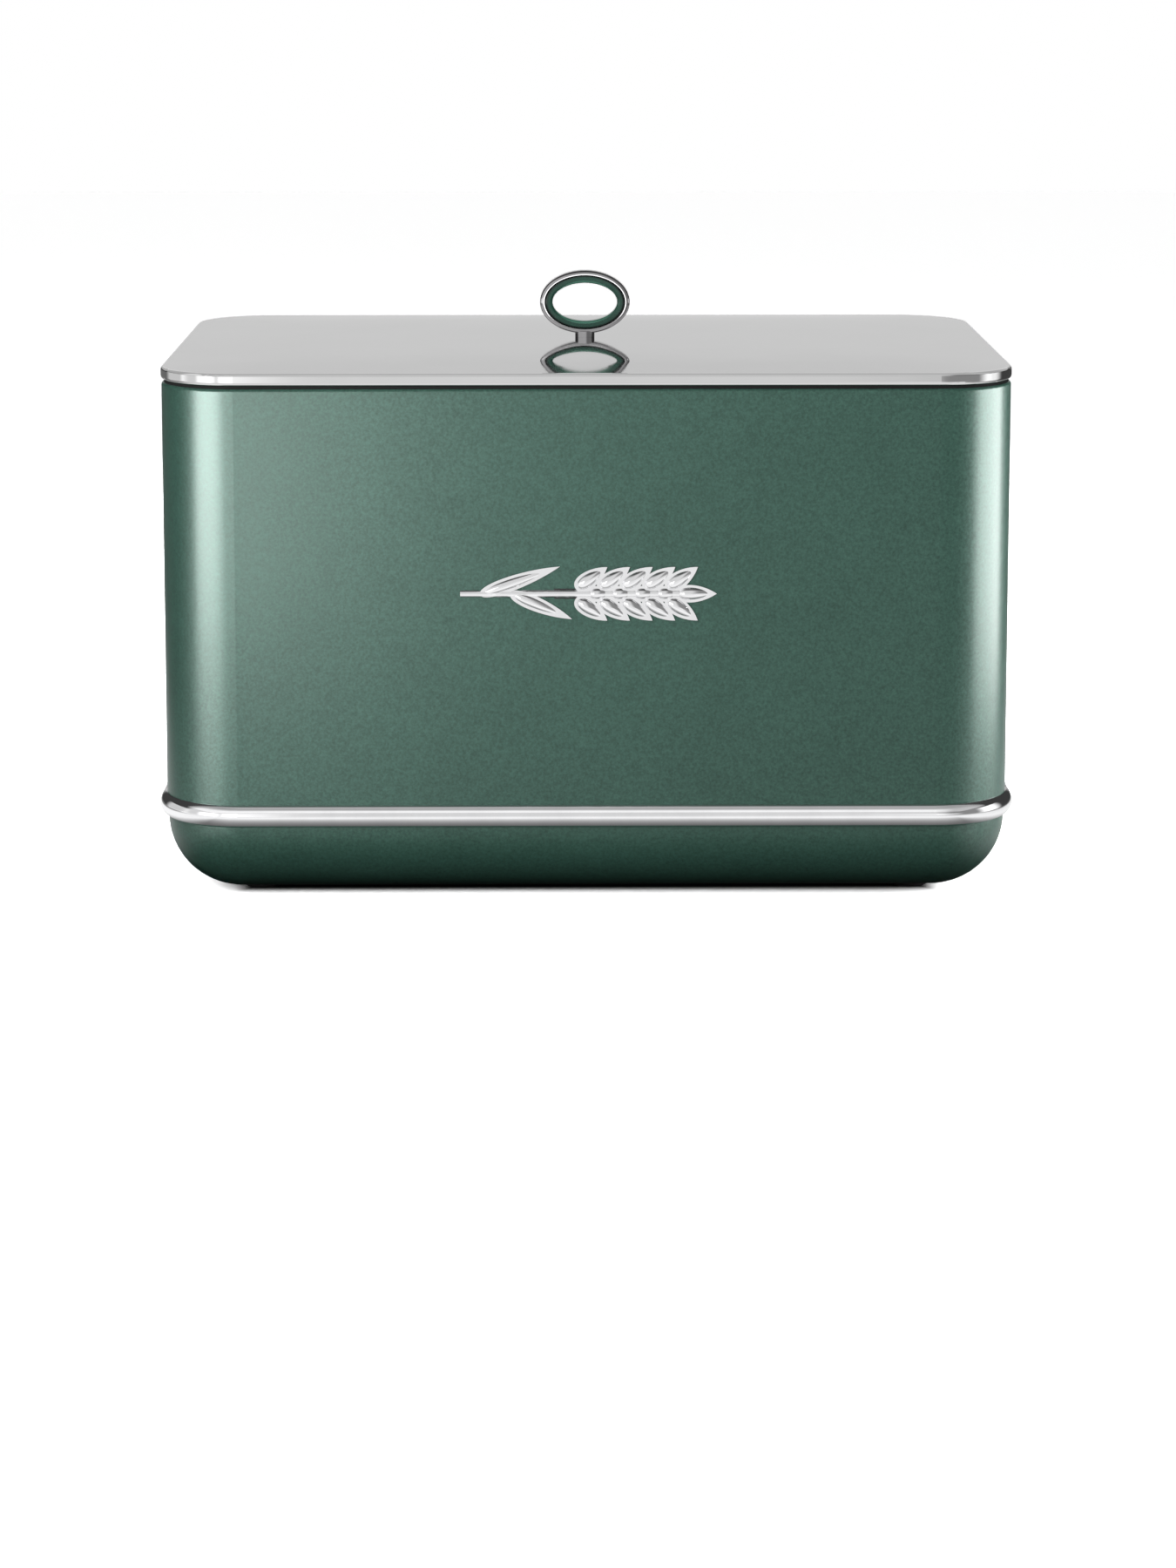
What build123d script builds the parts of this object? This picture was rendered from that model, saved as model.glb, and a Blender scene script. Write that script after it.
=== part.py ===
"""Bread bin: a painted sheet-steel box on a deep-drawn pan, with a stainless lid that lifts off.

Frame, in millimetres: X is the width, the front faces -Y, Z is up.
The origin is on the surface that the bin stands on, under the centre of its four feet.
"""

from build123d import *

import os
from math import cos, radians, sin

# ---------------------------------------------------------------- driving dimensions
body_width = 342.0  # over the painted body
body_depth = 229.0
corner_radius = 31.0  # of the body's vertical corners, outside
sheet = 0.8  # wall of the body and the pan
fit_gap = 0.1  # between nested sheets

foot_height = 3.0  # from the ground to the pan's underside
shoulder_height = 37.7  # where the body sits on the pan
rim_height = 210.0  # top of the body
seal_thickness = 1.0  # what the lid stands clear of the body
lid_height = 216.2  # top of the lid, at its edge
lid_crown = 2.3  # how much higher its middle is
crown_inset = 2.0  # where the crown starts
crown_grid = (-0.84, -0.5, 0, 0.5, 0.84)  # where its height is set, from edge to edge

pan_radius = 29.5  # of the pan's bottom edge
pan_inset = 0.6  # how far the pan stands back from the body's side
spigot_height = 10.0  # how far the pan reaches up inside the body

rim_radius = 1.2  # of the body's top edge, outside
hem_width = 5.0  # the body's top edge, folded in
hem_drop = 3.6  # and down again
seam_lap = 12.0  # the wrap's two ends, one over the other at the back
seam_groove = 0.4  # width and depth of the line that the outer end leaves

band_height = 9.0  # trim band over the joint between body and pan
band_proud = 3.0
band_sheet = 0.6
band_lip = 0.3  # straight part beside the body, before the band's curve
band_joint = 0.3  # gap between the band's two ends, at the back
splice_size = (24.0, 6.4, 0.7)  # strip behind that joint: length, height, thickness

foot_radius = 7.5
foot_places = {
    "foot_front_left": (-133.0, -75.0),
    "foot_front_right": (133.0, -75.0),
    "foot_back_left": (-133.0, 75.0),
    "foot_back_right": (133.0, 75.0),
}
foot_hole = 2.2  # radius of the pan's hole for a foot's stem
foot_barb_radius = 3.2
foot_barb_height = 2.4

lid_overhang = 0.25  # how far the lid stands out past the body
lid_sheet = 0.7
lid_top_radius = 1.2
lid_low_radius = 1.7
lid_hem = 4.4  # inset of the folded edge's end
plug_inset = 5.6  # the plug's wall, which drops into the body's mouth
plug_depth = 11.5  # how far it drops below the rim
plug_flange = 20.0  # inset of the inner end of its flange
seal_inset = 1.0
seal_lip = 1.7  # how far the seal reaches up behind the lid's folded edge

plate_size = (64.0, 44.0, 1.2)  # stiffener under the lid, below the handle
plate_corner = 6.0
washer_radius, washer_thickness = 4.8, 0.8
screw_radius, screw_hole = 2.0, 2.15
screw_head_radius, screw_head_height = 3.9, 2.4
screw_length = 5.0  # of the thread, above the washer
cross_width, cross_length, cross_depth = 0.9, 4.4, 1.2  # the screw's cross recess

handle_width = 37.9
handle_rise = 26.7  # height of the oval ring
neck_radius = 4.1
neck_height = 1.65
neck_gap = 0.01  # between the neck and the middle of the crown
frame_width = 1.8  # of the ring's bright outer frame, seen from the front
frame_depth = 7.0
frame_round = 1.5
inlay_width = 3.5
inlay_depth = 6.0
inlay_round = 1.1
inlay_gap = 0.08  # all round, between inlay and frame

emblem_length = 101.0
emblem_z = 128.1  # height of its centre line
pad_size = (50.0, 4.0, 0.3)  # adhesive strip behind it: length, height, thickness
pad_centre = 12.0
emblem_sink = 0.85  # how far each rounded form's axis lies behind the emblem's flat back
emblem_border = 0.7  # flat edging round every form: its width
emblem_edge = 0.5  # and its thickness
stem_radii = (1.6, 1.8)  # of the stalk at its foot and at its top
grain_size = (13.6, 5.7)  # length and width of a grain in the two outer rows
grain_angle = 35.0
grain_offset = 2.4  # from the stalk's centre line to where those grains start
middle_grain_size = (9.4, 5.0)  # of a grain in the row along the stalk
grain_pairs = 5
grain_pitch = 9.0
first_grain = -4.0  # where the first pair leaves the stalk
top_grain_size = (14.6, 5.7)
leaves = ((-42.0, 19.5, 32.0), (-30.0, -23.0, 25.0))  # start, angle and length of each leaf
leaf_width = 4.6

# ---------------------------------------------------------------- what follows from them
front = -body_depth / 2
back = body_depth / 2
lid_bottom = rim_height + seal_thickness
lid_ceiling = lid_height - lid_sheet  # underside of the lid's top
hem_bottom = rim_height - hem_drop
spigot_top = shoulder_height + spigot_height
spigot_inset = sheet + fit_gap
lid_middle = lid_height + lid_crown
ring_z = lid_middle + neck_height + handle_rise / 2
plate_bottom = lid_middle - lid_sheet - plate_size[2]
washer_bottom = plate_bottom - washer_thickness


def outline(inset, height):
    """The bin's plan outline, moved in by inset, at that height."""
    with BuildSketch(Plane.XY.offset(height)) as shape:
        RectangleRounded(body_width - 2 * inset, body_depth - 2 * inset, corner_radius - inset)
    return shape.sketch


def block(inset, low, high, mode=Mode.ADD):
    """A block of that outline between two heights, in the part being built."""
    extrude(outline(inset, low), amount=high - low, mode=mode)


def disc(radius, low, high, centre=(0, 0), mode=Mode.ADD):
    """A round block between two heights, in the part being built."""
    with BuildSketch(Plane.XY.offset(low)) as shape:
        with Locations(centre):
            Circle(radius)
    extrude(shape.sketch, amount=high - low, mode=mode)


def slab(size, low, high, centre=(0, 0), corner=0.0, mode=Mode.ADD):
    """A rectangular block between two heights, in the part being built."""
    with BuildSketch(Plane.XY.offset(low)) as shape:
        with Locations(centre):
            if corner:
                RectangleRounded(size[0], size[1], corner)
            else:
                Rectangle(size[0], size[1])
    extrude(shape.sketch, amount=high - low, mode=mode)


def crowned(drop, depth, mode):
    """The block under the lid's crown, lowered by drop and that deep, in the part being built."""
    edge = outline(crown_inset, lid_height).face().outer_wire()
    reach_x = body_width / 2 - crown_inset
    reach_y = body_depth / 2 - crown_inset
    points = []
    for u in crown_grid:
        for v in crown_grid:
            rise = lid_crown * (1 - u**4) * (1 - v**4)
            points.append((u * reach_x, v * reach_y, lid_height + rise))
    skin = Face.make_surface(edge, surface_points=points)
    extrude(skin.moved(Location((0, 0, -drop))), amount=depth, dir=(0, 0, -1), mode=mode)


def facing_plane(y, z, x=0.0, turn=0.0):
    """An upright plane that faces the front, its own X turned by that many degrees."""
    along = (cos(radians(turn)), 0, sin(radians(turn)))
    return Plane(origin=(x, y, z), x_dir=along, z_dir=(0, -1, 0))


def oval(width, rise, depth, mode=Mode.ADD):
    """An upright oval block about the handle's centre, in the part being built."""
    with BuildSketch(facing_plane(0, ring_z)) as shape:
        Ellipse(width / 2, rise / 2)
    extrude(shape.sketch, amount=depth / 2, both=True, mode=mode)


def save(piece, name):
    """Labels a finished piece and writes its file."""
    piece.part.label = name
    export_step(piece.part, f"parts/{name}.step")


os.makedirs("parts", exist_ok=True)

# ---------------------------------------------------------------- body
# One sheet wrapped round to a lapped seam at the back. Its top edge is folded in and down.
with BuildPart() as body_wrap:
    block(0, shoulder_height, rim_height)
    fillet(body_wrap.faces().sort_by(Axis.Z)[-1].edges(), radius=rim_radius)
    block(sheet, shoulder_height, rim_height - sheet, mode=Mode.SUBTRACT)
    block(hem_width - sheet, hem_bottom, rim_height - sheet)
    block(hem_width, hem_bottom, rim_height, mode=Mode.SUBTRACT)
    fillet(body_wrap.faces().sort_by(Axis.Z)[-1].inner_wires()[0].edges(), radius=sheet / 2)
    slab(
        (seam_lap, sheet),
        spigot_top + fit_gap,
        hem_bottom + fit_gap,
        centre=(0, back - 1.5 * sheet),
    )
    slab(
        (seam_groove, 2 * seam_groove),
        shoulder_height,
        rim_height - rim_radius,
        centre=(seam_lap / 2, back),
        mode=Mode.SUBTRACT,
    )
save(body_wrap, "body_wrap")

# ---------------------------------------------------------------- pan
# Deep drawn, with a wide round bottom edge and a spigot that the body slides down over.
with BuildPart() as base_pan:
    block(pan_inset, foot_height, shoulder_height)
    fillet(base_pan.faces().sort_by(Axis.Z)[0].edges(), radius=pan_radius)
    offset(amount=-sheet, openings=base_pan.faces().sort_by(Axis.Z)[-1])
    block(spigot_inset, shoulder_height - sheet, spigot_top)
    block(spigot_inset + sheet, shoulder_height - sheet, spigot_top, mode=Mode.SUBTRACT)
    for centre in foot_places.values():
        disc(foot_hole, 0, foot_height + 2 * sheet, centre=centre, mode=Mode.SUBTRACT)
save(base_pan, "base_pan")

# ---------------------------------------------------------------- feet
# Rubber buttons, each with a barbed stem that is pushed through the pan from below.
for name, centre in foot_places.items():
    with BuildPart() as foot:
        disc(foot_radius, 0, foot_height, centre=centre)
        fillet(foot.faces().sort_by(Axis.Z)[0].edges(), radius=foot_height / 3)
        disc(foot_hole - fit_gap, foot_height, foot_height + sheet, centre=centre)
        disc(
            foot_barb_radius,
            foot_height + sheet,
            foot_height + sheet + foot_barb_height,
            centre=centre,
        )
        chamfer(
            foot.faces().sort_by(Axis.Z)[-1].edges(),
            length=foot_barb_height * 0.8,
            length2=foot_barb_radius / 2,
        )
    save(foot, name)

# ---------------------------------------------------------------- trim band
# A half-round strip, bent round the joint between body and pan until its ends meet at the back.
half_x = body_width / 2
half_y = body_depth / 2


def band_route(height):
    """The body's outline as one line, from one side of the band's joint round to the other."""
    gap = band_joint / 2
    arc_x = half_x - corner_radius
    arc_y = half_y - corner_radius
    with BuildLine(Plane.XY.offset(height)) as route:
        Line((gap, half_y), (arc_x, half_y))
        RadiusArc((arc_x, half_y), (half_x, arc_y), corner_radius)
        Line((half_x, arc_y), (half_x, -arc_y))
        RadiusArc((half_x, -arc_y), (arc_x, -half_y), corner_radius)
        Line((arc_x, -half_y), (-arc_x, -half_y))
        RadiusArc((-arc_x, -half_y), (-half_x, -arc_y), corner_radius)
        Line((-half_x, -arc_y), (-half_x, arc_y))
        RadiusArc((-half_x, arc_y), (-arc_x, half_y), corner_radius)
        Line((-arc_x, half_y), (-gap, half_y))
    return route.line


with BuildPart() as trim_band:
    # the strip's section, across its start: X runs out from the body, Y up
    start = Plane(origin=(band_joint / 2, back, shoulder_height), x_dir=(0, 1, 0), z_dir=(1, 0, 0))
    half = band_height / 2
    with BuildSketch(start) as band_section:
        with BuildLine():
            Line((0, -half), (band_lip, -half))
            ThreePointArc((band_lip, -half), (band_proud, 0), (band_lip, half))
            Line((band_lip, half), (0, half))
            Line((0, half), (0, half - band_sheet))
            Line((0, half - band_sheet), (band_lip, half - band_sheet))
            ThreePointArc(
                (band_lip, half - band_sheet),
                (band_proud - band_sheet, 0),
                (band_lip, band_sheet - half),
            )
            Line((band_lip, band_sheet - half), (0, band_sheet - half))
            Line((0, band_sheet - half), (0, -half))
        make_face()
    sweep(band_section.sketch, path=band_route(shoulder_height))
save(trim_band, "trim_band")

with BuildPart() as band_splice:
    slab(
        (splice_size[0], splice_size[2]),
        shoulder_height - splice_size[1] / 2,
        shoulder_height + splice_size[1] / 2,
        centre=(0, back + splice_size[2] / 2),
    )
save(band_splice, "band_splice")

# ---------------------------------------------------------------- emblem
# An ear of wheat laid on its side, cast in relief with a flat back, on an adhesive strip.
emblem_back = front - pad_size[2]
axis_y = emblem_back + emblem_sink  # the rounded forms' axes lie in the body's side of the back


def lens(x, y, z, turn, size):
    """The outline of a grain or leaf from that point on, above its own long axis."""
    length, width = size
    with BuildSketch(facing_plane(y, z, x, turn)) as upper_half:
        with BuildLine():
            Bezier((0, 0), (0, 0.7 * width), (0.6 * length, 0.635 * width), (length, 0))
            Line((length, 0), (0, 0))
        make_face()
    return upper_half.sketch


def spindle(x, z, turn, size):
    """A grain or leaf, blunt where it starts and pointed where it ends, on its flat edging."""
    plane = facing_plane(axis_y, z, x, turn)
    revolve(lens(x, axis_y, z, turn, size), axis=Axis(plane.origin, plane.x_dir))
    back_x = x - emblem_border * plane.x_dir.X
    back_z = z - emblem_border * plane.x_dir.Z
    wider = (size[0] + 2.5 * emblem_border, size[1] + 2 * emblem_border)
    flat = lens(back_x, emblem_back, back_z, turn, wider)
    extrude(flat, amount=emblem_edge)
    extrude(mirror(flat, about=Plane(plane.origin, z_dir=plane.y_dir)), amount=emblem_edge)


with BuildPart() as wheat_emblem:
    stem_start = -emblem_length / 2
    stem_end = emblem_length / 2 - 0.8 * top_grain_size[0]
    with BuildSketch(facing_plane(axis_y, emblem_z)) as stem_half:
        with BuildLine():
            Polyline(
                (stem_start, 0),
                (stem_start, stem_radii[0]),
                (stem_end, stem_radii[1]),
                (stem_end, 0),
                close=True,
            )
        make_face()
    revolve(stem_half.sketch, axis=Axis((0, axis_y, emblem_z), (1, 0, 0)))
    for start, turn, length in leaves:
        spindle(start, emblem_z, turn, (length, leaf_width))
    for pair in range(grain_pairs):
        place = first_grain + pair * grain_pitch
        for side in (-1, 1):
            spindle(place, emblem_z + side * grain_offset, side * grain_angle, grain_size)
        if pair:
            spindle(place - grain_pitch / 2, emblem_z, 0, middle_grain_size)
    spindle(emblem_length / 2 - top_grain_size[0], emblem_z, 0, top_grain_size)
    split(bisect_by=Plane(origin=(0, emblem_back, 0), z_dir=(0, -1, 0)), keep=Keep.TOP)
save(wheat_emblem, "wheat_emblem")

with BuildPart() as emblem_pad:
    slab(
        (pad_size[0], pad_size[2]),
        emblem_z - pad_size[1] / 2,
        emblem_z + pad_size[1] / 2,
        centre=(pad_centre, front - pad_size[2] / 2),
    )
save(emblem_pad, "emblem_pad")

# ---------------------------------------------------------------- lid
# A stainless pressing, slightly crowned, with its edge rolled in underneath.
with BuildPart() as lid_cover:
    block(-lid_overhang, lid_bottom, lid_height)
    fillet(lid_cover.faces().sort_by(Axis.Z)[-1].edges(), radius=lid_top_radius)
    fillet(lid_cover.faces().sort_by(Axis.Z)[0].edges(), radius=lid_low_radius)
    crowned(0, lid_crown + lid_sheet, Mode.ADD)
    block(lid_sheet - lid_overhang, lid_bottom + lid_sheet, lid_ceiling, mode=Mode.SUBTRACT)
    crowned(lid_sheet, lid_crown + lid_sheet, Mode.SUBTRACT)
    block(lid_hem, lid_bottom, lid_bottom + lid_sheet, mode=Mode.SUBTRACT)
    disc(screw_hole, lid_ceiling, lid_middle + lid_sheet, mode=Mode.SUBTRACT)
save(lid_cover, "lid_cover")

# The plug is a flanged ring, spot-welded under the cover, that drops into the body's mouth.
with BuildPart() as lid_plug:
    block(plug_inset, rim_height - plug_depth, lid_middle)
    crowned(lid_sheet + neck_gap, 2 * plug_depth, Mode.INTERSECT)
    block(
        plug_inset + lid_sheet,
        rim_height - plug_depth,
        lid_ceiling - lid_sheet,
        mode=Mode.SUBTRACT,
    )
    block(plug_flange, lid_ceiling - lid_sheet, lid_middle, mode=Mode.SUBTRACT)
save(lid_plug, "lid_plug")

# The seal fits round the plug and lies on the body's rim, a little back from the sides.
with BuildPart() as lid_seal:
    block(seal_inset, rim_height, lid_bottom)
    block(lid_hem, lid_bottom, lid_bottom + seal_lip)
    block(plug_inset, rim_height, lid_bottom + seal_lip, mode=Mode.SUBTRACT)
save(lid_seal, "lid_seal")

# ---------------------------------------------------------------- handle
# An oval ring, a bright cast frame with a painted inlay, on a neck that a screw pulls down.
with BuildPart() as handle_frame:
    oval(handle_width, handle_rise, frame_depth)
    fillet(handle_frame.edges(), radius=frame_round)
    disc(neck_radius, lid_middle + neck_gap, ring_z - handle_rise / 2 + frame_width / 2)
    oval(
        handle_width - 2 * frame_width,
        handle_rise - 2 * frame_width,
        2 * frame_depth,
        mode=Mode.SUBTRACT,
    )
    disc(screw_hole, lid_middle, plate_bottom + screw_length, mode=Mode.SUBTRACT)
save(handle_frame, "handle_frame")

with BuildPart() as handle_inlay:
    inlay_outer = frame_width + inlay_gap
    inlay_inner = frame_width + inlay_width
    oval(handle_width - 2 * inlay_outer, handle_rise - 2 * inlay_outer, inlay_depth)
    oval(
        handle_width - 2 * inlay_inner,
        handle_rise - 2 * inlay_inner,
        2 * inlay_depth,
        mode=Mode.SUBTRACT,
    )
    fillet(handle_inlay.edges(), radius=inlay_round)
save(handle_inlay, "handle_inlay")

# What holds the handle from underneath: a stiffening plate, a washer and a cross-head screw.
with BuildPart() as handle_plate:
    slab(plate_size, plate_bottom, lid_middle, corner=plate_corner)
    crowned(lid_sheet + neck_gap, 2 * plate_size[2], Mode.INTERSECT)
    disc(screw_hole, plate_bottom, lid_middle, mode=Mode.SUBTRACT)
save(handle_plate, "handle_plate")

with BuildPart() as handle_washer:
    disc(washer_radius, washer_bottom, plate_bottom)
    disc(screw_hole, washer_bottom, plate_bottom, mode=Mode.SUBTRACT)
save(handle_washer, "handle_washer")

with BuildPart() as handle_screw:
    head_bottom = washer_bottom - screw_head_height
    disc(screw_head_radius, head_bottom, washer_bottom)
    fillet(handle_screw.faces().sort_by(Axis.Z)[0].edges(), radius=screw_head_height / 2)
    disc(screw_radius, washer_bottom, plate_bottom + screw_length)
    slab(
        (cross_width, cross_length), head_bottom, head_bottom + cross_depth, mode=Mode.SUBTRACT
    )
    slab(
        (cross_length, cross_width), head_bottom, head_bottom + cross_depth, mode=Mode.SUBTRACT
    )
save(handle_screw, "handle_screw")
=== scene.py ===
from math import pi, radians

import bpy
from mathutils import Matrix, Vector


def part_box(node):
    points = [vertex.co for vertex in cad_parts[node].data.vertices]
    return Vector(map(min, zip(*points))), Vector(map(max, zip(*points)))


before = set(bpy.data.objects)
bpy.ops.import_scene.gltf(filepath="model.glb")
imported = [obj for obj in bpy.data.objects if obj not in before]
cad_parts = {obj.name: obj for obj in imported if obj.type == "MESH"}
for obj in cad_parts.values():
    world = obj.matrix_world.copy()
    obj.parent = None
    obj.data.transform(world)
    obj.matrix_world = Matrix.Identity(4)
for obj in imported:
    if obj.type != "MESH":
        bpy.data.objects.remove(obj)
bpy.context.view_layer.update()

# ------------------------------------------------------------------ places, from the frame
body_low, body_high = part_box("body_wrap")

# ------------------------------------------------------------------ camera
SENSOR = 36.0  # the picture's long side, in millimetres like the lens
LENS = 88.97
DISTANCE = 1.634  # in front of the bin's middle
ASIDE = -0.0132
ABOVE_RIM = 0.1844
PITCH = 7.80  # degrees below level
YAW = -0.51
camera_data = bpy.data.cameras.new("camera")
camera_data.sensor_width = SENSOR
camera_data.lens = LENS
camera_data.shift_y = -0.2138  # the bin stands high in the picture
camera_data.clip_start = 0.01
camera = bpy.data.objects.new("camera", camera_data)
bpy.context.scene.collection.objects.link(camera)
camera.location = (ASIDE, -DISTANCE, body_high.z + ABOVE_RIM)
camera.rotation_euler = (radians(90 - PITCH), 0, radians(YAW))
bpy.context.scene.camera = camera


# ------------------------------------------------------------------ node helpers
class Shader:
    """A node material that is being built, with its Principled shader and short ways to add nodes."""

    def __init__(self, name, color, metallic=0.0, roughness=0.5, **sockets):
        self.material = bpy.data.materials.new(name)
        self.material.use_nodes = True
        self.tree = self.material.node_tree
        self.surface = self.tree.nodes["Principled BSDF"]
        self.set("Base Color", (*color, 1))
        self.set("Metallic", metallic)
        self.set("Roughness", roughness)
        for socket, value in sockets.items():
            self.set(socket.replace("_", " "), value)
        self.place = self.node("ShaderNodeTexCoord").outputs["Object"]

    def set(self, socket, value):
        self.surface.inputs[socket].default_value = value

    def node(self, kind, **inputs):
        made = self.tree.nodes.new(kind)
        for socket, value in inputs.items():
            self.feed(made.inputs[socket.replace("_", " ")], value)
        return made

    def feed(self, socket, value):
        """Links an output to that input, or sets it to a plain value."""
        if isinstance(value, bpy.types.NodeSocket):
            self.tree.links.new(value, socket)
        else:
            socket.default_value = value

    def scaled(self, scale, place=None):
        """The place on the surface, in metres, times a scale for each axis."""
        return self.node("ShaderNodeMapping", Vector=place or self.place, Scale=scale).outputs[0]

    def noise(self, scale, detail=2.0, roughness=0.5, place=None):
        made = self.node(
            "ShaderNodeTexNoise",
            Vector=place or self.place,
            Scale=scale,
            Detail=detail,
            Roughness=roughness,
        )
        return made.outputs["Fac"]

    def remap(self, value, low, high, start=0.25, end=0.75):
        """That value's range from start to end, stretched from low to high."""
        made = self.node("ShaderNodeMapRange", Value=value)
        for socket, number in zip(made.inputs[1:5], (start, end, low, high)):
            socket.default_value = number
        return made.outputs["Result"]

    def blend(self, factor, first, second, kind="MIX"):
        made = self.tree.nodes.new("ShaderNodeMix")
        made.data_type = "RGBA"
        made.blend_type = kind
        self.feed(made.inputs["Factor"], factor)
        self.feed(made.inputs[6], first)
        self.feed(made.inputs[7], second)
        return made.outputs[2]

    def math(self, operation, first, second=0.0):
        made = self.tree.nodes.new("ShaderNodeMath")
        made.operation = operation
        self.feed(made.inputs[0], first)
        self.feed(made.inputs[1], second)
        return made.outputs[0]

    def bump(self, height, distance, strength=1.0, below=None):
        """A bump from that height field, whose full range stands for a distance in metres."""
        made = self.node("ShaderNodeBump", Strength=strength, Distance=distance, Height=height)
        if below is not None:
            self.feed(made.inputs["Normal"], below)
        self.feed(self.surface.inputs["Normal"], made.outputs[0])
        return made.outputs[0]

    def use(self, socket, value):
        self.feed(self.surface.inputs[socket], value)


def rgb(*color):
    return (*color, 1)


# ------------------------------------------------------------------ materials
def green_enamel():
    """Satin enamel with a fine metallic fleck, faint clouding and the ripple of sprayed paint."""
    shade = Shader("green_enamel", (0.021, 0.058, 0.043), 0.10, 0.32, Specular_IOR_Level=0.35)
    cloud = shade.remap(shade.noise(28, 4, 0.6), 0, 1, 0.3, 0.7)
    fleck = shade.remap(shade.noise(850, 3, 0.7), 0, 1, 0.3, 0.7)
    dark = shade.blend(cloud, rgb(0.0145, 0.042, 0.031), rgb(0.017, 0.048, 0.036))
    light = shade.blend(cloud, rgb(0.029, 0.079, 0.059), rgb(0.033, 0.088, 0.066))
    shade.use("Base Color", shade.blend(fleck, dark, light))
    shade.use("Roughness", shade.remap(fleck, 0.29, 0.35, 0, 1))
    ripple = shade.bump(shade.noise(260, 2, 0.5), 0.00004, 0.6)
    shade.bump(shade.noise(1100, 2, 0.6), 0.00001, 0.6, ripple)
    return shade.material


def polished_steel(name, color, roughness, grain_strength, grain_scale=(6, 900, 900)):
    """Stainless steel with a fine straight grain along the sheet's length and a few faint smears."""
    shade = Shader(name, color, 1.0, roughness)
    grain = shade.noise(1, 3, 0.6, shade.scaled(grain_scale))
    smear = shade.noise(9, 5, 0.62)
    uneven = shade.math("ADD", grain, shade.math("MULTIPLY", smear, 0.8))
    shade.use("Roughness", shade.remap(uneven, roughness * 0.7, roughness * 1.4, 0.6, 1.2))
    dark = rgb(*(0.90 * part for part in color))
    shade.use("Base Color", shade.blend(shade.remap(smear, 0, 1), dark, rgb(*color)))
    shade.bump(grain, 0.000004, grain_strength)
    return shade.material


def chrome(name, light, dull):
    """Bright plating, with the faint waviness of what lies under it and tiny wipe marks."""
    shade = Shader(name, light, 1.0, 0.05)
    wipes = shade.remap(shade.noise(140, 5, 0.65), 0.035, 0.11, 0.35, 0.75)
    shade.use("Roughness", wipes)
    wear_and_highlight = shade.remap(shade.noise(60, 4, 0.6), 0, 1, 0.4, 0.8)
    shade.use("Base Color", shade.blend(wear_and_highlight, rgb(*light), rgb(*dull)))
    shade.bump(shade.noise(110, 2, 0.5), 0.00001, 0.35)
    return shade.material


def zinc(name, color):
    """Zinc plating with its patches of crystal."""
    shade = Shader(name, color, 0.95, 0.35)
    crystal = shade.node("ShaderNodeTexVoronoi", Vector=shade.place, Scale=320.0).outputs["Color"]
    patches = shade.node("ShaderNodeSeparateColor", Color=crystal).outputs[0]
    light = rgb(*(min(1.0, 1.15 * part) for part in color))
    shade.use("Base Color", shade.blend(patches, rgb(*color), light))
    shade.use("Roughness", shade.remap(patches, 0.26, 0.42, 0, 1))
    shade.bump(shade.noise(900, 3, 0.6), 0.000006, 0.5)
    return shade.material


def rubber(name, color, scale=1400, dusty=0.004):
    """Matt moulded rubber with a fine grain and a little dust."""
    shade = Shader(name, color, 0.0, 0.7, Specular_IOR_Level=0.3)
    dust = shade.remap(shade.noise(90, 5, 0.65), 0, 1, 0.4, 0.8)
    pale = rgb(*(part * 1.9 + dusty for part in color))
    shade.use("Base Color", shade.blend(dust, rgb(*color), pale))
    shade.use("Roughness", shade.remap(dust, 0.58, 0.82, 0, 1))
    shade.bump(shade.noise(scale, 3, 0.6), 0.00002, 0.6)
    return shade.material


INLAY_HOLE = 0.75  # the hole's size, as a share of the inlay's


def gloss_green():
    """The handle's lining: glossy enamel, deep in colour, with a highlight painted round the hole's
    rim and shade painted in the seam against the frame.
    """
    shade = Shader("gloss_green", (0.004, 0.04, 0.025), 0.25, 0.14, Specular_IOR_Level=0.4)
    shade.set("Coat Weight", 0.5)
    shade.set("Coat Roughness", 0.06)
    cloud = shade.remap(shade.noise(300, 3, 0.6), 0, 1, 0.3, 0.7)
    enamel = shade.blend(cloud, rgb(0.003, 0.034, 0.021), rgb(0.006, 0.048, 0.031))
    low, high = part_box("handle_inlay")
    middle = (low + high) / 2
    centred = shade.node("ShaderNodeVectorMath", Vector=shade.place)
    centred.operation = "SUBTRACT"
    centred.inputs[1].default_value = middle
    shrunk = shade.scaled((2 / (high.x - low.x), 0, 2 / (high.z - low.z)), centred.outputs[0])
    reach = shade.node("ShaderNodeVectorMath", Vector=shrunk)
    reach.operation = "LENGTH"
    # painted shade: the enamel goes near black at its outer edge, in the seam against the frame
    seam_shade = shade.remap(reach.outputs["Value"], 0, 0.9, 0.90, 0.96)
    # a painted highlight: the enamel turns pale mint round the hole's rim
    rim_highlight_mask = shade.remap(reach.outputs["Value"], 0.5, 0, INLAY_HOLE + 0.02, INLAY_HOLE + 0.06)
    wear_and_highlight = shade.blend(rim_highlight_mask, enamel, rgb(0.09, 0.25, 0.18))
    shade.use("Base Color", shade.blend(seam_shade, wear_and_highlight, rgb(0.001, 0.002, 0.002)))
    shade.use("Roughness", shade.remap(shade.noise(500, 3, 0.6), 0.10, 0.18))
    shade.bump(shade.noise(420, 2, 0.5), 0.000012, 0.5)
    return shade.material


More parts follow.
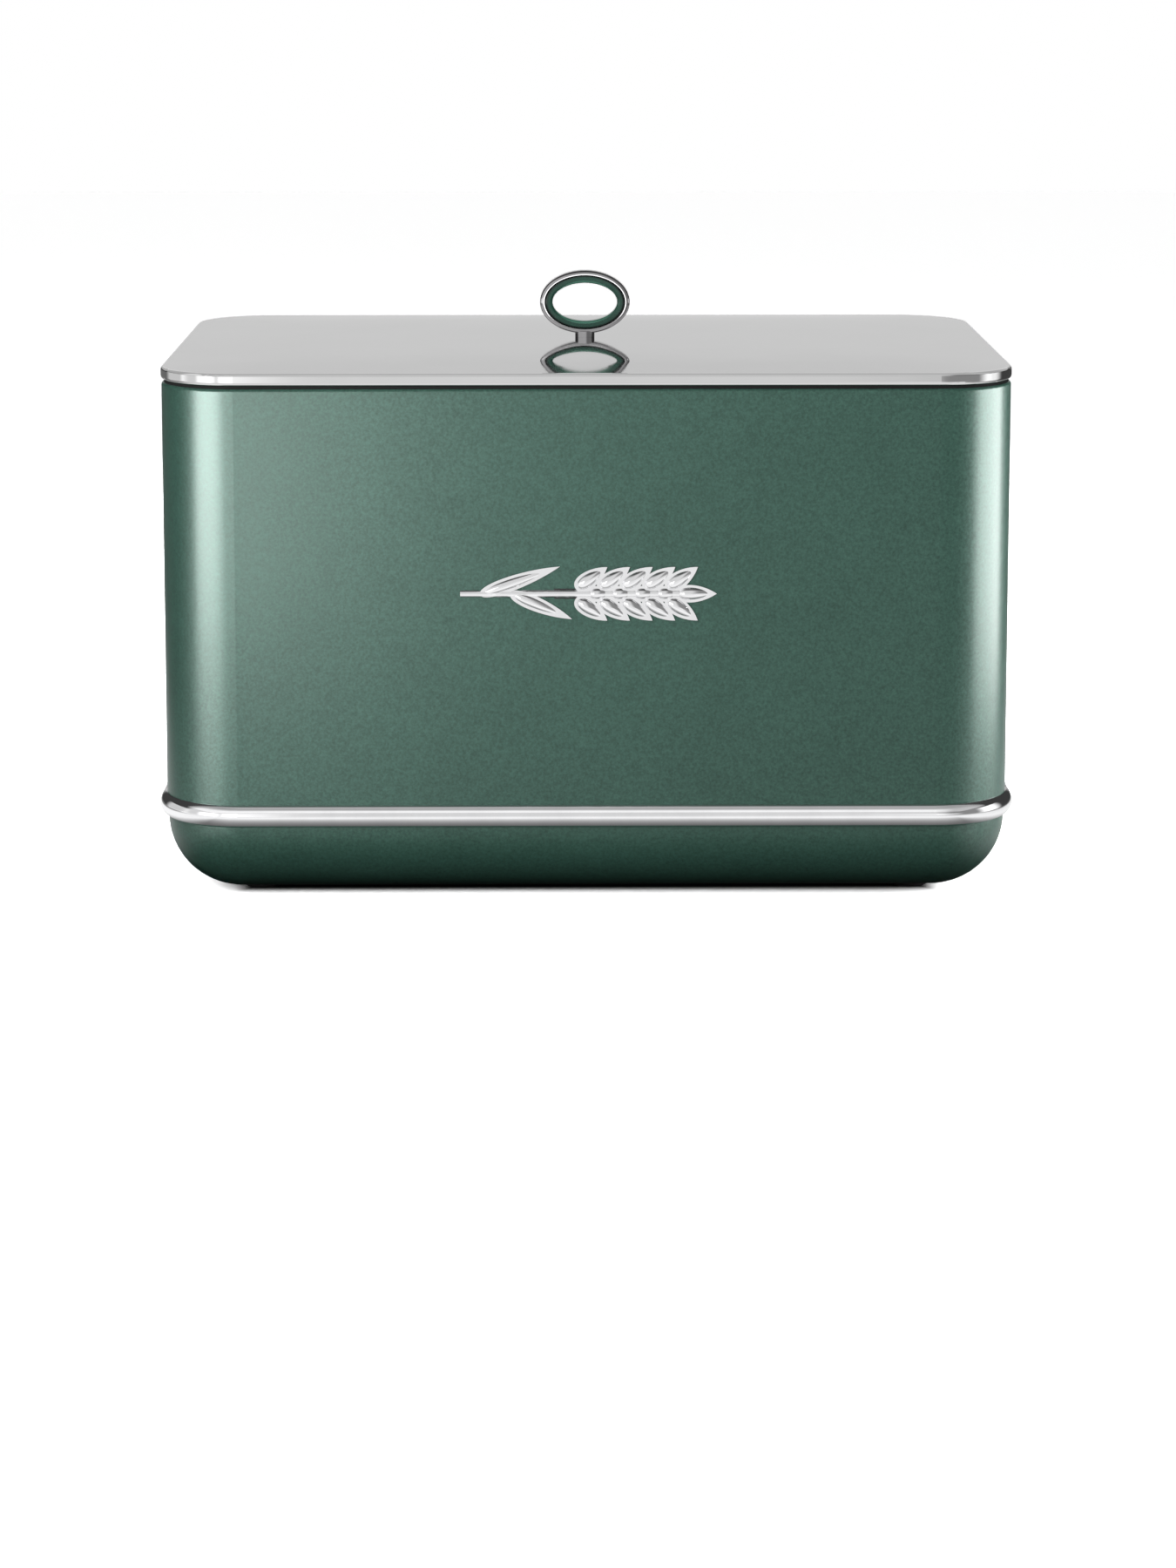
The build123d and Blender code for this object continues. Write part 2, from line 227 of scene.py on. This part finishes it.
green = green_enamel()
bright = chrome("bright_chrome", (0.90, 0.90, 0.91), (0.82, 0.82, 0.83))
finishes = {
    "body_wrap": green,
    "base_pan": green,
    "trim_band": bright,
    "wheat_emblem": bright,
    # painted shade: the handle's chrome is a darker copy of the band's, standing in for the dark
    # reflections on the handle
    "handle_frame": chrome("handle_chrome", (0.50, 0.49, 0.50), (0.43, 0.43, 0.43)),
    "handle_inlay": gloss_green(),
    "lid_cover": polished_steel("lid_steel", (0.72, 0.72, 0.72), 0.05, 0.05),
    "lid_plug": polished_steel("liner_steel", (0.56, 0.56, 0.55), 0.24, 0.6),
    # black seal rubber, partly painted shade: near black so it also stands for the shadow in the gap
    # under the lid
    "lid_seal": rubber("seal_rubber", (0.003, 0.003, 0.003), dusty=0.001),
    "emblem_pad": rubber("pad_foam", (0.018, 0.018, 0.018), 2600),
    "band_splice": zinc("splice_zinc", (0.50, 0.51, 0.52)),
    "handle_plate": zinc("plate_zinc", (0.50, 0.51, 0.52)),
    "handle_washer": zinc("washer_zinc", (0.58, 0.58, 0.57)),
    "handle_screw": zinc("screw_zinc", (0.56, 0.56, 0.55)),
}
foot_finish = rubber("foot_rubber", (0.012, 0.012, 0.012))
for name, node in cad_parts.items():
    node.data.materials.clear()
    node.data.materials.append(finishes.get(name, foot_finish))

# ------------------------------------------------------------------ floor and light
FLOOR_SIZE = 8.0
FLOOR_LIGHT = (0.0, 0.88)  # how brightly it glows in mirrors beside the bin, and away from it; the dark beside it is painted shade
FLOOR_FADE = (-0.015, 0.12)  # how far out from the bin's sides that changes
FLOOR_SIDE_STEEPNESS = 2.5  # how much sooner it changes to the left and right
FLOOR_WHITE = 3.0  # to the eye
PAINTED_SHADOW_FADE = (-0.034, -0.026)  # where the shadow painted deep under the pan ends
PAINTED_SHADOW_COLOUR = 0.02  # the painted shadow's colour
FLOOR_CORNER_LIGHT = 0.2  # of its parts behind the bin, to its left and right, against the rest
FLOOR_SOFT_GLOW = 0.7  # how brightly it glows as soft light away from the bin; beside it none, as painted shade
FRONT_LIGHT = 0.92
BACK_LIGHT = 0.83  # of its low part, which the lid mirrors
BACK_HIGH_LIGHT = 0.25
RIGHT_LIGHT = 0.36  # of the front's right part, against its left part
CORNER_LIGHT = 0.06  # of the dark cloths behind the bin, to its left and right
HIGH_LIGHT = 0.10  # of the dark strip round the top of the walls
CEILING_LIGHT = 0.42
DARK_CEILING = 0.04  # of its part behind the bin, in mirrors

# Where the light changes on the floor, in metres.
FLOOR_RIGHT_FADE = (0.15, 0.7)
FLOOR_ASIDE_FADE = (0.25, 0.55)
FLOOR_BEHIND_FADE = (-0.3, 0.05)

# Where it changes round the bin, as parts of a direction of length 1: + is right, behind or up.
CLOTH_ASIDE_FADE = (0.2, 0.42)
CLOTH_BEHIND_FADE = (-0.25, 0.1)
RIGHT_FADE = (0.1, 0.5)
BACK_HIGH_FADE = (0.27, 0.45)
BACK_FADE = (-0.3, 0.4)
HIGH_FADE = (0.68, 0.92)
CEILING_FADE = (0.93, 0.99)
CEILING_BEHIND_FADE = (-0.35, 0.0)

PAINTED = ("body_wrap", "base_pan")
front_y = body_low.y
left_x = body_low.x
right_x = body_high.x
HIGHLIGHT_TOP = 0.27
METAL_LOW = 0.002  # the low edge of every highlight on the metal
HIGHLIGHTS = (  # name, place, turn, width, brightness for the paint and the metal, low edge
    ("front_screen", (left_x - 0.115, front_y - 0.50), 0, 0.31, 8.0, 1.2, 0.002),
    ("left_strip", (left_x - 0.41, front_y - 0.42), -44, 0.44, 28.0, 1.3, -0.03),
    ("right_strip", (right_x + 0.42, front_y + 0.01), 87, 0.44, 17.0, 1.2, -0.25),
)
SOFT_LIGHTS = (  # name, place, turn, size, low edge, brightness
    ("key", (left_x - 0.05, front_y - 0.50), -12, (0.40, 0.40), 0.15, 8.0),
    ("right_key", (right_x + 0.55, front_y + 0.02), 90, (0.3, 0.5), 0.0, 10.5),
    ("left_fill", (left_x - 1.0, 0.35), -110, (0.8, 0.8), 0.2, 1.6),
    ("right_fill", (right_x + 1.0, 0.35), 110, (0.8, 0.8), 0.2, 1.6),
    ("back_fill", (-0.3, 1.2), 190, (1.0, 0.8), 0.2, 3.5),
)


class Surroundings:
    """A stage shader's nodes, with one look for the camera and another for the light on the bin."""

    def __init__(self, tree):
        self.tree = tree
        self.place = tree.nodes.new("ShaderNodeTexCoord")

    def split(self, kind):
        made = self.tree.nodes.new("ShaderNodeSeparateXYZ")
        self.tree.links.new(self.place.outputs[kind], made.inputs[0])
        return made.outputs

    def feed(self, socket, value):
        """Links an output to that input, or sets it to a plain value."""
        if isinstance(value, bpy.types.NodeSocket):
            self.tree.links.new(value, socket)
        else:
            socket.default_value = value

    def math(self, operation, first, second=0.0):
        made = self.tree.nodes.new("ShaderNodeMath")
        made.operation = operation
        self.feed(made.inputs[0], first)
        self.feed(made.inputs[1], second)
        return made.outputs[0]

    def fade(self, value, start, end, low, high):
        """Low before start, high after end, and a soft change between them."""
        made = self.tree.nodes.new("ShaderNodeMapRange")
        made.interpolation_type = "SMOOTHSTEP"
        for socket, number in zip(made.inputs[1:5], (start, end, low, high)):
            self.feed(socket, number)
        self.feed(made.inputs["Value"], value)
        return made.outputs["Result"]

    def for_soft_light(self, mirrored, soft):
        """One strength for the rays that mirrors see, and another for soft light on surfaces."""
        ray = self.tree.nodes.new("ShaderNodeLightPath")
        made = self.tree.nodes.new("ShaderNodeMix")
        self.feed(made.inputs[2], mirrored)
        self.feed(made.inputs[3], soft)
        self.tree.links.new(ray.outputs["Is Diffuse Ray"], made.inputs[0])
        return made.outputs[0]

    def show(self, seen, thrown, output):
        ray = self.tree.nodes.new("ShaderNodeLightPath")
        pick = self.tree.nodes.new("ShaderNodeMixShader")
        self.tree.links.new(ray.outputs["Is Camera Ray"], pick.inputs[0])
        self.tree.links.new(thrown, pick.inputs[1])
        self.tree.links.new(seen, pick.inputs[2])
        self.tree.links.new(pick.outputs[0], self.tree.nodes[output].inputs["Surface"])


def pale_floor():
    """A plain pale floor, with a shadow painted on it deep under the pan. For the light on the bin it
    glows instead, with painted shade close by.
    """
    bpy.ops.mesh.primitive_plane_add(size=FLOOR_SIZE, location=(0, 0, 0))
    floor = bpy.context.object
    floor.name = "floor"
    material = bpy.data.materials.new("floor")
    material.use_nodes = True
    tree = material.node_tree
    tree.nodes.remove(tree.nodes["Principled BSDF"])
    around = Surroundings(tree)
    x, y, _ = around.split("Object")
    beside_x = around.math("SUBTRACT", around.math("ABSOLUTE", x), body_high.x)
    beside_y = around.math("SUBTRACT", around.math("ABSOLUTE", y), body_high.y)
    beside = around.math("MAXIMUM", beside_x, beside_y)
    seen = tree.nodes.new("ShaderNodeBsdfDiffuse")
    # to the eye, a shadow painted on the floor deep under the pan
    tree.links.new(around.fade(beside, *PAINTED_SHADOW_FADE, PAINTED_SHADOW_COLOUR, FLOOR_WHITE), seen.inputs["Color"])
    # the floor glows for the light on the bin though it is no lamp, with painted shade beside the bin
    glow = tree.nodes.new("ShaderNodeEmission")
    right = around.fade(x, *FLOOR_RIGHT_FADE, 1, RIGHT_LIGHT)
    sooner_x = around.math("MULTIPLY", beside_x, FLOOR_SIDE_STEEPNESS)
    open_floor = around.math("MAXIMUM", sooner_x, beside_y)
    aside = around.fade(around.math("ABSOLUTE", x), *FLOOR_ASIDE_FADE, 0, 1)
    behind = around.fade(y, *FLOOR_BEHIND_FADE, 0, 1)
    corners = around.fade(around.math("MULTIPLY", aside, behind), 0, 1, 1, FLOOR_CORNER_LIGHT)
    near = around.math("MULTIPLY", around.fade(open_floor, *FLOOR_FADE, *FLOOR_LIGHT), right)
    mirrored = around.math("MULTIPLY", near, corners)
    thrown = around.for_soft_light(mirrored, around.fade(open_floor, *FLOOR_FADE, 0, FLOOR_SOFT_GLOW))
    tree.links.new(thrown, glow.inputs["Strength"])
    around.show(seen.outputs[0], glow.outputs[0], "Material Output")
    floor.data.materials.append(material)


def studio_room():
    """Surroundings: white to the eye. For light, pale walls, two dark cloths and a dim ceiling."""
    world = bpy.data.worlds.new("studio")
    bpy.context.scene.world = world
    world.use_nodes = True
    tree = world.node_tree
    white = tree.nodes["Background"]
    white.inputs["Color"].default_value = rgb(1, 1, 1)
    white.inputs["Strength"].default_value = 1.0
    around = Surroundings(tree)
    x, y, z = around.split("Generated")
    sideways = around.fade(around.math("ABSOLUTE", x), *CLOTH_ASIDE_FADE, 0, 1)
    behind = around.fade(y, *CLOTH_BEHIND_FADE, 0, 1)
    right = around.fade(x, *RIGHT_FADE, FRONT_LIGHT, FRONT_LIGHT * RIGHT_LIGHT)
    back = around.fade(z, *BACK_HIGH_FADE, BACK_LIGHT, BACK_HIGH_LIGHT)
    pale = around.fade(y, *BACK_FADE, right, back)
    wall = around.fade(around.math("MULTIPLY", sideways, behind), 0, 1, pale, CORNER_LIGHT)
    high = around.fade(z, *HIGH_FADE, wall, HIGH_LIGHT)
    room = tree.nodes.new("ShaderNodeBackground")
    behind_high = around.fade(y, *CEILING_BEHIND_FADE, CEILING_LIGHT, DARK_CEILING)
    mirrored = around.fade(z, *CEILING_FADE, high, behind_high)
    soft = around.fade(z, *CEILING_FADE, wall, CEILING_LIGHT)
    strength = around.for_soft_light(mirrored, soft)
    tree.links.new(strength, room.inputs["Strength"])
    around.show(white.outputs[0], room.outputs[0], "World Output")


def group(name, objects):
    """A collection of what a light reaches."""
    made = bpy.data.collections.new(name)
    for thing in objects:
        made.objects.link(thing)
    return made


def fade_ends(light, share):
    """Fades a light out towards its left and right ends, over that share of its width at each."""
    light.use_nodes = True
    tree = light.node_tree
    across = tree.nodes.new("ShaderNodeSeparateXYZ")
    tree.links.new(tree.nodes.new("ShaderNodeNewGeometry").outputs["Parametric"], across.inputs[0])
    around = Surroundings(tree)
    nearest = around.math("MINIMUM", across.outputs[0], around.math("SUBTRACT", 1, across.outputs[0]))
    tree.links.new(around.fade(nearest, 0, share, 0, 1), tree.nodes["Emission"].inputs["Strength"])


def softbox(name, centre, turn, size, low, brightness, glossy=True, lit=None, soft_ends=0):
    """An upright rectangular soft light over that place, which faces the bin.

    Turn is how far round from the front it stands, in degrees, + to the right.
    A glossy one makes highlights alone, and the others light the surfaces without a highlight.
    """
    data = bpy.data.lights.new(name, "AREA")
    data.shape = "RECTANGLE"
    data.size = size[0]
    data.size_y = size[1]
    data.energy = brightness * size[0] * size[1] * pi
    if soft_ends:
        fade_ends(data, soft_ends)
    light = bpy.data.objects.new(name, data)
    bpy.context.scene.collection.objects.link(light)
    light.location = (*centre, low + size[1] / 2)
    light.rotation_euler = (radians(90), 0, radians(turn))
    light.visible_camera = False
    light.visible_glossy = glossy
    light.visible_diffuse = not glossy
    if lit:
        light.light_linking.receiver_collection = lit
        light.light_linking.blocker_collection = pieces


def level_light(name, centre, tilt, size, brightness, lit):
    """A level light over or under the bin, for the highlights on those pieces alone."""
    data = bpy.data.lights.new(name, "AREA")
    data.shape = "RECTANGLE"
    data.size = size[0]
    data.size_y = size[1]
    data.energy = brightness * size[0] * size[1] * pi
    light = bpy.data.objects.new(name, data)
    bpy.context.scene.collection.objects.link(light)
    light.location = centre
    light.rotation_euler = (radians(tilt), 0, 0)
    light.visible_camera = False
    light.visible_diffuse = False
    light.light_linking.receiver_collection = lit


pale_floor()
studio_room()
pieces = group("pieces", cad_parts.values())
painted = group("painted", [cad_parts[name] for name in PAINTED])
plated = group("plated", [node for name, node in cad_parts.items() if name not in PAINTED])
for name, centre, turn, width, on_paint, on_metal, low in HIGHLIGHTS:
    tall = (width, HIGHLIGHT_TOP - low)
    softbox(name + "_on_paint", centre, turn, tall, low, on_paint, lit=painted)
    short = (width, HIGHLIGHT_TOP)
    softbox(name + "_on_metal", centre, turn, short, METAL_LOW, on_metal, lit=plated, soft_ends=0.4)
level_light("floor_glow", (0, 0, 0.001), 180, (0.7, 0.7), 0.15, plated)
band = group("band", [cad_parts["trim_band"]])
level_light("band_ceiling", (0, -0.85, 1.0), 0, (3.0, 1.7), 0.30, band)
lid = group("lid", [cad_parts["lid_cover"]])
level_light("lid_ceiling", (0, 0.70, 0.80), 0, (5.0, 2.66), 0.50, lid)
handle = group("handle", [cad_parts["handle_frame"]])
softbox("handle_front", (0, -0.55), 0, (0.12, 0.08), 0.12, 2.6, lit=handle)
right_place = (right_x + 0.13, front_y - 0.40)
softbox("right_screen", right_place, 20, (0.42, 0.11), 0.03, 0.45, lit=plated, soft_ends=0.4)
left_place = (left_x - 0.5, front_y + 0.15)
softbox("left_screen", left_place, -90, (0.6, 0.28), 0.002, 0.6, lit=plated, soft_ends=0.3)
for name, centre, turn, size, low, brightness in SOFT_LIGHTS:
    softbox(name, centre, turn, size, low, brightness, glossy=False)

bpy.context.scene.view_settings.view_transform = "Standard"
